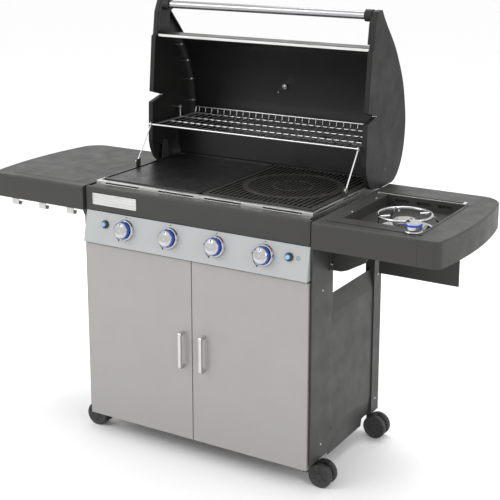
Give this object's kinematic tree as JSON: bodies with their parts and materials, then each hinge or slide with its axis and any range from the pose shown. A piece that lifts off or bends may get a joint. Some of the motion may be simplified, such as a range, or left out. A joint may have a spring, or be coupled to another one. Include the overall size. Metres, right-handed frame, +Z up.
{
  "type": "gas barbecue grill",
  "caption": "Gas barbecue on a caster cart: hinged lid with linked warming rack, griddle and grate, front knobs, side shelves with a side burner, cabinet doors.",
  "frame": {"origin": "on the floor under the middle of the bounding box", "axes": "+X to the right of a person at the front, +Y to the back, +Z up"},
  "size_m": [1.636, 0.6845, 1.406],
  "materials": {
    "charcoal_paint": "satin powder coat",
    "lid_paint": "satin dark paint",
    "trim_steel": "bright brushed",
    "black_enamel": "satin black enamel",
    "door_paint": "light warm grey metallic paint",
    "panel_silver": "silver paint",
    "badge": "plain satin plate",
    "chrome": "polished",
    "rack_chrome": "plated wire",
    "satin_handle": "satin",
    "bar_aluminium": "brushed along its length",
    "black_plastic": "moulded",
    "blue_button": "light blue",
    "gas_brass": "machined",
    "burner_steel": "brushed",
    "thermometer": "polished",
    "cast_iron": "enamelled casting",
    "galvanised": "galvanised sheet",
    "grey_plastic": "moulded light grey",
    "wheel_rubber": "moulded tread"
  },
  "bodies": {
    "cart": {"back_shield": "black_enamel", "badge_plate": "badge", "base_shelf": "charcoal_paint", "burner_bowl": "chrome", "burner_tray": "charcoal_paint", "control_panel": "panel_silver", "cooking_grate": "cast_iron", "deck_trim": "trim_steel", "door_hinges": "charcoal_paint", "fascia": "charcoal_paint", "firebox": "black_enamel", "flame_tamers": "burner_steel", "frame_rails": "charcoal_paint", "front_legs": "charcoal_paint", "gas_train": "gas_brass", "grate_insert": "cast_iron", "griddle_plate": "black_enamel", "igniter_bases": "black_plastic", "knob_bezels": "chrome", "left_shelf": "charcoal_paint", "lid_brackets": "charcoal_paint", "lid_slot": "trim_steel", "main_burners": "burner_steel", "pan_support": "chrome", "rear_legs": "charcoal_paint", "right_shelf": "charcoal_paint", "shelf_brackets": "charcoal_paint", "side_burner": "burner_steel", "side_panels": "charcoal_paint", "tool_hooks": "grey_plastic"},
    "lid": {"lid_caps": "lid_paint", "lid_skin": "black_enamel", "handle_bar": "bar_aluminium", "lid_clips": "trim_steel", "thermometer": "thermometer"},
    "rack": {"warming_rack": "rack_chrome"},
    "rack_links": {"rack_legs": "rack_chrome"},
    "door_left": {"door_left": "door_paint", "door_handle_left": "satin_handle"},
    "door_right": {"door_right": "door_paint", "door_handle_right": "satin_handle"},
    "knob_1": {"knob_1": "chrome"},
    "knob_2": {"knob_2": "chrome"},
    "knob_3": {"knob_3": "chrome"},
    "knob_4": {"knob_4": "chrome"},
    "side_knob": {"side_knob": "chrome"},
    "igniter_left": {"igniter_button_left": "blue_button"},
    "igniter_right": {"igniter_button_right": "blue_button"},
    "drip_tray": {"drip_tray": "galvanised"},
    "burner_lid": {"burner_lid": "charcoal_paint"},
    "caster_front_left": {"caster_frame_front_left": "black_plastic"},
    "wheels_front_left": {"caster_wheels_front_left": "wheel_rubber"},
    "caster_front_right": {"caster_frame_front_right": "black_plastic"},
    "wheels_front_right": {"caster_wheels_front_right": "wheel_rubber"},
    "caster_rear_left": {"caster_frame_rear_left": "black_plastic"},
    "wheels_rear_left": {"caster_wheels_rear_left": "wheel_rubber"},
    "caster_rear_right": {"caster_frame_rear_right": "black_plastic"},
    "wheels_rear_right": {"caster_wheels_rear_right": "wheel_rubber"},
    "brake_front_left": {"brake_lever_front_left": "black_plastic"},
    "brake_front_right": {"brake_lever_front_right": "black_plastic"}
  },
  "joints": [
    {"name": "lid_hinge", "type": "hinge", "parent": "cart", "child": "lid", "pos_m": [0, 0.1175, 0.912], "axis": [1, 0, 0], "range_deg": [0, 93.8]},
    {"name": "rack_pivot", "type": "hinge", "parent": "lid", "child": "rack", "pos_m": [0, 0.1995, 1.025], "axis": [1, 0, 0], "range_deg": [-93.8, 0]},
    {"name": "rack_link_pivot", "type": "hinge", "parent": "cart", "child": "rack_links", "pos_m": [0, -0.0465, 0.876], "axis": [1, 0, 0], "range_deg": [0, 93.8]},
    {"name": "door_left_hinge", "type": "hinge", "parent": "cart", "child": "door_left", "pos_m": [-0.3985, -0.304, 0.36], "axis": [0, 0, -1], "range_deg": [0, 110]},
    {"name": "door_right_hinge", "type": "hinge", "parent": "cart", "child": "door_right", "pos_m": [0.3985, -0.304, 0.36], "axis": [0, 0, 1], "range_deg": [0, 110]},
    {"name": "knob_1_turn", "type": "hinge", "parent": "cart", "child": "knob_1", "pos_m": [-0.2475, -0.30886, 0.722], "axis": [0, -0.9791, 0.2036], "range_deg": [0, 150]},
    {"name": "knob_2_turn", "type": "hinge", "parent": "cart", "child": "knob_2", "pos_m": [-0.0795, -0.30886, 0.722], "axis": [0, -0.9791, 0.2036], "range_deg": [0, 150]},
    {"name": "knob_3_turn", "type": "hinge", "parent": "cart", "child": "knob_3", "pos_m": [0.0885, -0.30886, 0.722], "axis": [0, -0.9791, 0.2036], "range_deg": [0, 150]},
    {"name": "knob_4_turn", "type": "hinge", "parent": "cart", "child": "knob_4", "pos_m": [0.2565, -0.30886, 0.722], "axis": [0, -0.9791, 0.2036], "range_deg": [0, 150]},
    {"name": "side_knob_turn", "type": "hinge", "parent": "cart", "child": "side_knob", "pos_m": [0.697, -0.2525, 0.846], "axis": [0, 0, 1], "range_deg": [0, 150]},
    {"name": "igniter_left_press", "type": "slide", "parent": "cart", "child": "igniter_left", "axis": [0, 0.9791, -0.2036], "range_m": [0, 0.004], "stiffness_N_per_m": 600},
    {"name": "igniter_right_press", "type": "slide", "parent": "cart", "child": "igniter_right", "axis": [0, 0.9791, -0.2036], "range_m": [0, 0.004], "stiffness_N_per_m": 600},
    {"name": "drip_tray_slide", "type": "slide", "parent": "cart", "child": "drip_tray", "axis": [0, 1, 0], "range_m": [0, 0.4]},
    {"name": "burner_lid_lift", "type": "slide", "parent": "cart", "child": "burner_lid", "axis": [0, 0, 1], "range_m": [0, 0.22]},
    {"name": "swivel_front_left", "type": "hinge", "parent": "cart", "child": "caster_front_left", "pos_m": [-0.398, -0.2365, 0.084], "axis": [0, 0, 1], "continuous": true},
    {"name": "roll_front_left", "type": "hinge", "parent": "caster_front_left", "child": "wheels_front_left", "pos_m": [-0.423, -0.2365, 0.0385], "axis": [0, 1, 0], "continuous": true},
    {"name": "swivel_front_right", "type": "hinge", "parent": "cart", "child": "caster_front_right", "pos_m": [0.398, -0.2365, 0.084], "axis": [0, 0, 1], "continuous": true},
    {"name": "roll_front_right", "type": "hinge", "parent": "caster_front_right", "child": "wheels_front_right", "pos_m": [0.423, -0.2365, 0.0385], "axis": [0, 1, 0], "continuous": true},
    {"name": "swivel_rear_left", "type": "hinge", "parent": "cart", "child": "caster_rear_left", "pos_m": [-0.398, 0.1495, 0.084], "axis": [0, 0, 1], "continuous": true},
    {"name": "roll_rear_left", "type": "hinge", "parent": "caster_rear_left", "child": "wheels_rear_left", "pos_m": [-0.423, 0.1495, 0.0385], "axis": [0, 1, 0], "continuous": true},
    {"name": "swivel_rear_right", "type": "hinge", "parent": "cart", "child": "caster_rear_right", "pos_m": [0.398, 0.1495, 0.084], "axis": [0, 0, 1], "continuous": true},
    {"name": "roll_rear_right", "type": "hinge", "parent": "caster_rear_right", "child": "wheels_rear_right", "pos_m": [0.423, 0.1495, 0.0385], "axis": [0, 1, 0], "continuous": true},
    {"name": "brake_front_left_press", "type": "hinge", "parent": "caster_front_left", "child": "brake_front_left", "pos_m": [-0.437, -0.2365, 0.0725], "axis": [0, -1, 0], "range_deg": [0, 10]},
    {"name": "brake_front_right_press", "type": "hinge", "parent": "caster_front_right", "child": "brake_front_right", "pos_m": [0.437, -0.2365, 0.0725], "axis": [0, 1, 0], "range_deg": [0, 10]}
  ],
  "couplings": [
    {"joint": "rack_pivot", "follows": "lid_hinge", "ratio": -1},
    {"joint": "rack_link_pivot", "follows": "lid_hinge", "ratio": 1}
  ]
}
